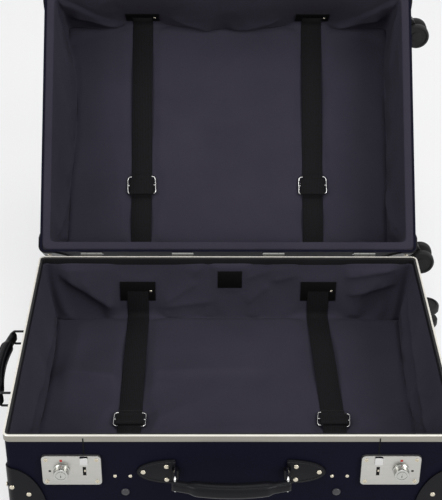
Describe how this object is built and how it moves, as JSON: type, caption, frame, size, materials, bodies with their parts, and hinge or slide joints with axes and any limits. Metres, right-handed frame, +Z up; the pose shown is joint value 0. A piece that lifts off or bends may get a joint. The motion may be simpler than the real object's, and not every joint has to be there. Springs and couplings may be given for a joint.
{
  "type": "suitcase",
  "caption": "Hard-shell trolley suitcase lying open, with lined base and lid, packing straps, leather corners, swivelling casters, carry handles, a pull-out handle and turn-knob locks.",
  "frame": {"origin": "On the ground under the centre of the base, level with the undersides of the base's leather corners.", "axes": "+Z is up. X runs along the case with the casters at +X and the pull-out handle at -X. The locks face -Y and the hinges are at +Y, where the open lid leans back."},
  "size_m": [0.6118, 0.7661, 0.4398],
  "materials": {
    "fibreboard": "navy lacquered fibreboard, satin",
    "rim_metal": "satin metal channel",
    "batten_wood": "plain sawn batten",
    "lining": "loose charcoal woven lining",
    "webbing": "black woven webbing",
    "leather": "black vegetable-tanned leather",
    "wheel": "matte black",
    "moulding": "black moulding",
    "trolley_metal": "black anodised",
    "bright_metal": "polished and satin silver"
  },
  "bodies": {
    "base": {"base_shell": "fibreboard", "base_rim": "rim_metal", "base_lining": "lining", "base_corner_front_left": "leather", "base_corner_front_right": "leather", "base_corner_back_left": "leather", "base_corner_back_right": "leather", "base_caster_front_mount": "bright_metal", "base_caster_back_mount": "bright_metal", "hinge_1_base_leaf": "bright_metal", "hinge_2_base_leaf": "bright_metal", "hinge_3_base_leaf": "bright_metal", "hinge_4_base_leaf": "bright_metal", "lock_plate_left": "bright_metal", "lock_plate_right": "bright_metal", "base_strap_left": "webbing", "base_strap_right": "webbing", "base_buckle_left": "bright_metal", "base_buckle_right": "bright_metal", "front_handle_tab_left": "leather", "front_handle_tab_right": "leather", "end_handle_tab_back": "leather", "end_handle_tab_front": "leather", "trolley_guide": "moulding"},
    "lid": {"lid_shell": "fibreboard", "lid_batten": "batten_wood", "lid_lining": "lining", "lid_corner_front_left": "leather", "lid_corner_front_right": "leather", "lid_corner_back_left": "leather", "lid_corner_back_right": "leather", "lid_caster_front_mount": "bright_metal", "lid_caster_back_mount": "bright_metal", "hinge_1_lid_leaf": "bright_metal", "hinge_2_lid_leaf": "bright_metal", "hinge_3_lid_leaf": "bright_metal", "hinge_4_lid_leaf": "bright_metal", "lid_hasp_left": "bright_metal", "lid_hasp_right": "bright_metal", "lid_strap_left": "webbing", "lid_strap_right": "webbing", "lid_buckle_left": "bright_metal", "lid_buckle_right": "bright_metal"},
    "base_caster_front_fork": {"base_caster_front_fork": "moulding"},
    "base_caster_front_wheels": {"base_caster_front_wheels": "wheel"},
    "base_caster_back_fork": {"base_caster_back_fork": "moulding"},
    "base_caster_back_wheels": {"base_caster_back_wheels": "wheel"},
    "lid_caster_back_fork": {"lid_caster_back_fork": "moulding"},
    "lid_caster_back_wheels": {"lid_caster_back_wheels": "wheel"},
    "lid_caster_front_fork": {"lid_caster_front_fork": "moulding"},
    "lid_caster_front_wheels": {"lid_caster_front_wheels": "wheel"},
    "trolley_handle": {"trolley_handle": "trolley_metal"},
    "lock_knob_left": {"lock_knob_left": "bright_metal"},
    "lock_knob_right": {"lock_knob_right": "bright_metal"},
    "front_handle_ring_left": {"front_handle_ring_left": "bright_metal"},
    "front_handle_ring_right": {"front_handle_ring_right": "bright_metal"},
    "front_handle_grip": {"front_handle_grip": "leather"},
    "end_handle_ring_back": {"end_handle_ring_back": "bright_metal"},
    "end_handle_ring_front": {"end_handle_ring_front": "bright_metal"},
    "end_handle_grip": {"end_handle_grip": "leather"}
  },
  "joints": [
    {"name": "lid_hinge", "type": "hinge", "parent": "base", "child": "lid", "pos_m": [0, 0.1964, 0.1224], "axis": [1, 0, 0], "range_deg": [0, 130]},
    {"name": "base_caster_front_swivel", "type": "hinge", "parent": "base", "child": "base_caster_front_fork", "pos_m": [0.2635, -0.1725, 0.0251], "axis": [1, 0, 0], "continuous": true},
    {"name": "base_caster_front_roll", "type": "hinge", "parent": "base_caster_front_fork", "child": "base_caster_front_wheels", "pos_m": [0.2856, -0.1535, 0.0251], "axis": [0, 0, 1], "continuous": true},
    {"name": "base_caster_back_swivel", "type": "hinge", "parent": "base", "child": "base_caster_back_fork", "pos_m": [0.2635, 0.1725, 0.0251], "axis": [1, 0, 0], "continuous": true},
    {"name": "base_caster_back_roll", "type": "hinge", "parent": "base_caster_back_fork", "child": "base_caster_back_wheels", "pos_m": [0.2856, 0.1915, 0.0251], "axis": [0, 0, 1], "continuous": true},
    {"name": "lid_caster_back_swivel", "type": "hinge", "parent": "lid", "child": "lid_caster_back_fork", "pos_m": [0.265, 0.28017, 0.08331], "axis": [1, 0, 0], "continuous": true},
    {"name": "lid_caster_back_roll", "type": "hinge", "parent": "lid_caster_back_fork", "child": "lid_caster_back_wheels", "pos_m": [0.2871, 0.28017, 0.06431], "axis": [0, 1, 0], "continuous": true},
    {"name": "lid_caster_front_swivel", "type": "hinge", "parent": "lid", "child": "lid_caster_front_fork", "pos_m": [0.265, 0.50193, 0.34759], "axis": [1, 0, 0], "continuous": true},
    {"name": "lid_caster_front_roll", "type": "hinge", "parent": "lid_caster_front_fork", "child": "lid_caster_front_wheels", "pos_m": [0.2871, 0.50193, 0.32859], "axis": [0, 1, 0], "continuous": true},
    {"name": "trolley_slide", "type": "slide", "parent": "base", "child": "trolley_handle", "axis": [-1, 0, 0], "range_m": [0, 0.36]},
    {"name": "lock_left_turn", "type": "hinge", "parent": "base", "child": "lock_knob_left", "pos_m": [-0.1988, -0.1953, 0.0726], "axis": [0, -1, 0], "range_deg": [0, 90]},
    {"name": "lock_right_turn", "type": "hinge", "parent": "base", "child": "lock_knob_right", "pos_m": [0.1988, -0.1953, 0.0726], "axis": [0, -1, 0], "range_deg": [0, 90]},
    {"name": "front_handle_ring_left_swing", "type": "hinge", "parent": "base", "child": "front_handle_ring_left", "pos_m": [-0.0655, -0.1957, 0.0676], "axis": [0, 0, 1], "range_deg": [-50, 50]},
    {"name": "front_handle_ring_right_swing", "type": "hinge", "parent": "base", "child": "front_handle_ring_right", "pos_m": [0.0655, -0.1957, 0.0676], "axis": [0, 0, 1], "range_deg": [-50, 50]},
    {"name": "front_handle_grip_swing", "type": "hinge", "parent": "front_handle_ring_left", "child": "front_handle_grip", "pos_m": [-0.0655, -0.2167, 0.0676], "axis": [0, 0, 1], "range_deg": [-50, 50]},
    {"name": "end_handle_ring_back_swing", "type": "hinge", "parent": "base", "child": "end_handle_ring_back", "pos_m": [-0.2682, 0.0655, 0.0736], "axis": [0, 0, 1], "range_deg": [-50, 50]},
    {"name": "end_handle_ring_front_swing", "type": "hinge", "parent": "base", "child": "end_handle_ring_front", "pos_m": [-0.2682, -0.0655, 0.0736], "axis": [0, 0, 1], "range_deg": [-50, 50]},
    {"name": "end_handle_grip_swing", "type": "hinge", "parent": "end_handle_ring_back", "child": "end_handle_grip", "pos_m": [-0.2892, 0.0655, 0.0736], "axis": [0, 0, 1], "range_deg": [-50, 50]}
  ],
  "couplings": [
    {"joint": "front_handle_ring_right_swing", "follows": "front_handle_ring_left_swing", "ratio": 1},
    {"joint": "front_handle_grip_swing", "follows": "front_handle_ring_left_swing", "ratio": -1},
    {"joint": "end_handle_ring_front_swing", "follows": "end_handle_ring_back_swing", "ratio": 1},
    {"joint": "end_handle_grip_swing", "follows": "end_handle_ring_back_swing", "ratio": -1}
  ]
}
